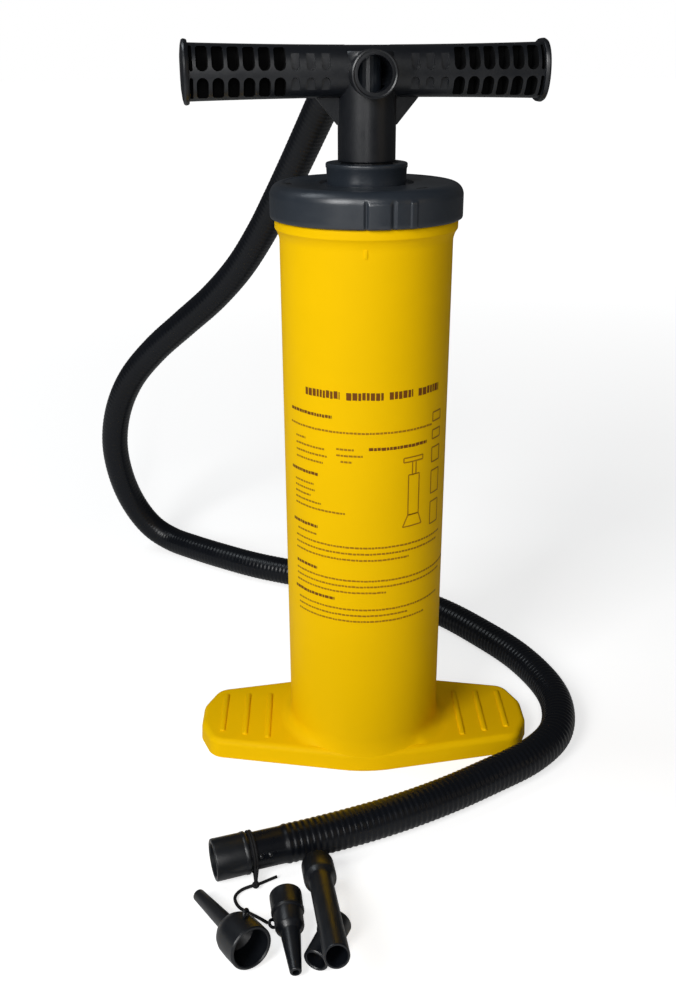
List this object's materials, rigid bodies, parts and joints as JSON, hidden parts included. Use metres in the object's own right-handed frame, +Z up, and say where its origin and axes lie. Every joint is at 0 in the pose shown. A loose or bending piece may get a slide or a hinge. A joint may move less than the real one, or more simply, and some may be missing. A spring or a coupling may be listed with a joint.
{
  "type": "double action hand pump",
  "caption": "Floor-standing double action hand air pump with a T handle, a barrel on a footed base, a corrugated hose and loose nozzles tied to it.",
  "frame": {"origin": "on the floor, on the barrel's axis", "axes": "+X along the base towards its right foot, -Y to the front where the open port of the handle looks, +Z up the barrel"},
  "size_m": [0.4037, 0.6126, 0.4818],
  "materials": {
    "yellow_plastic": "bright yellow moulded plastic, semi-gloss",
    "slate_plastic": "slate grey moulded plastic, satin",
    "black_plastic": "blue-black moulded plastic, semi-gloss",
    "hose_plastic": "black corrugated hose plastic",
    "rubber": "matt black",
    "white_plastic": "natural white moulded plastic",
    "steel": "bright zinc"
  },
  "bodies": {
    "barrel": {"barrel": "yellow_plastic", "cap": "slate_plastic", "cap_gasket": "rubber", "gland": "slate_plastic", "rod_seal": "rubber", "guide_bush": "white_plastic", "bottom_bumper": "rubber", "hose": "hose_plastic", "hose_end_cuff": "black_plastic", "hose_end_socket": "black_plastic", "tether_strap": "rubber", "tether_knot": "rubber", "tether_cord": "rubber", "nozzle_long_tip": "black_plastic", "nozzle_domed": "black_plastic", "nozzle_stepped": "black_plastic", "nozzle_wide": "black_plastic"},
    "handle": {"handle": "black_plastic", "neck_pin": "steel", "rod_tube": "black_plastic", "air_tube": "black_plastic", "rear_elbow": "black_plastic", "hose_inlet_cuff": "black_plastic", "inlet_o_ring": "rubber", "piston_lid": "white_plastic", "piston_base": "white_plastic", "piston_ring": "rubber", "top_bumper": "rubber", "piston_screw_1": "steel", "piston_screw_2": "steel", "piston_screw_3": "steel", "piston_screw_4": "steel", "intake_upper_post": "white_plastic", "intake_lower_post": "white_plastic", "outlet_upper_post": "white_plastic", "outlet_lower_post": "white_plastic"},
    "intake_upper_flap": {"intake_upper_flap": "rubber"},
    "intake_lower_flap": {"intake_lower_flap": "rubber"},
    "outlet_upper_flap": {"outlet_upper_flap": "rubber"},
    "outlet_lower_flap": {"outlet_lower_flap": "rubber"}
  },
  "joints": [
    {"name": "pump_stroke", "type": "slide", "parent": "barrel", "child": "handle", "axis": [0, 0, 1], "range_m": [0, 0.318]},
    {"name": "intake_upper_valve", "type": "slide", "parent": "handle", "child": "intake_upper_flap", "axis": [0, 0, 1], "range_m": [0, 0.002], "stiffness_N_per_m": 200},
    {"name": "intake_lower_valve", "type": "slide", "parent": "handle", "child": "intake_lower_flap", "axis": [0, 0, -1], "range_m": [0, 0.002], "stiffness_N_per_m": 200},
    {"name": "outlet_upper_valve", "type": "slide", "parent": "handle", "child": "outlet_upper_flap", "axis": [0, 0, -1], "range_m": [0, 0.002], "stiffness_N_per_m": 200},
    {"name": "outlet_lower_valve", "type": "slide", "parent": "handle", "child": "outlet_lower_flap", "axis": [0, 0, 1], "range_m": [0, 0.002], "stiffness_N_per_m": 200}
  ]
}
